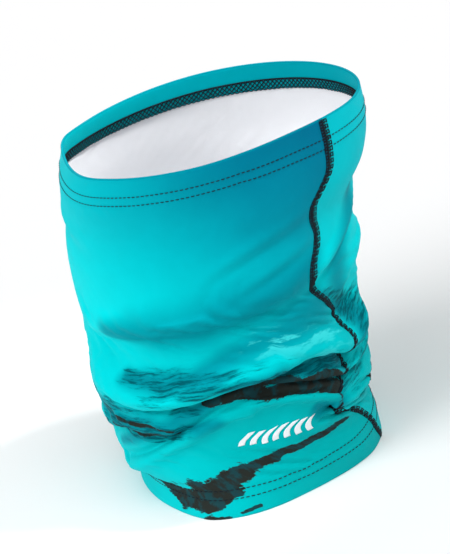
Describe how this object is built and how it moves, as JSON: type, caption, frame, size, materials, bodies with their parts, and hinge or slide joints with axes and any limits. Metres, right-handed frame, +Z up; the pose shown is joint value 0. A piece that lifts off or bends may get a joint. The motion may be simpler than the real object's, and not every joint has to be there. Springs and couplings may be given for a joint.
{
  "type": "neck gaiter",
  "caption": "Soft open-ended knit tube worn round the neck and over the lower face, with hemmed rims, a flatlock side seam and gathered folds.",
  "frame": {"origin": "on the surface that the bottom hem edge stands on, under the middle of the tube's bounding box", "axes": "+Z up through the tube from the neck opening to the face opening, -Y to the front, +X to the wearer's left, where the side seam runs"},
  "size_m": [0.1853, 0.154, 0.207],
  "materials": {
    "printed_knit": "sublimation-printed stretch knit, turquoise with a dark ridge print outside, white inside",
    "sewing_thread": "dark textured polyester sewing thread",
    "reflective_film": "thin pale reflective heat-transfer film"
  },
  "bodies": {
    "root": {"tube_panel": "printed_knit", "seam_cover_thread": "sewing_thread", "seam_needle_thread_1": "sewing_thread", "seam_needle_thread_2": "sewing_thread", "seam_needle_thread_3": "sewing_thread", "seam_needle_thread_4": "sewing_thread", "seam_looper_thread": "sewing_thread", "top_hem_needle_thread_upper": "sewing_thread", "top_hem_needle_thread_lower": "sewing_thread", "top_hem_looper_thread": "sewing_thread", "bottom_hem_needle_thread_upper": "sewing_thread", "bottom_hem_needle_thread_lower": "sewing_thread", "bottom_hem_looper_thread": "sewing_thread", "reflective_transfer": "reflective_film"}
  },
  "joints": []
}
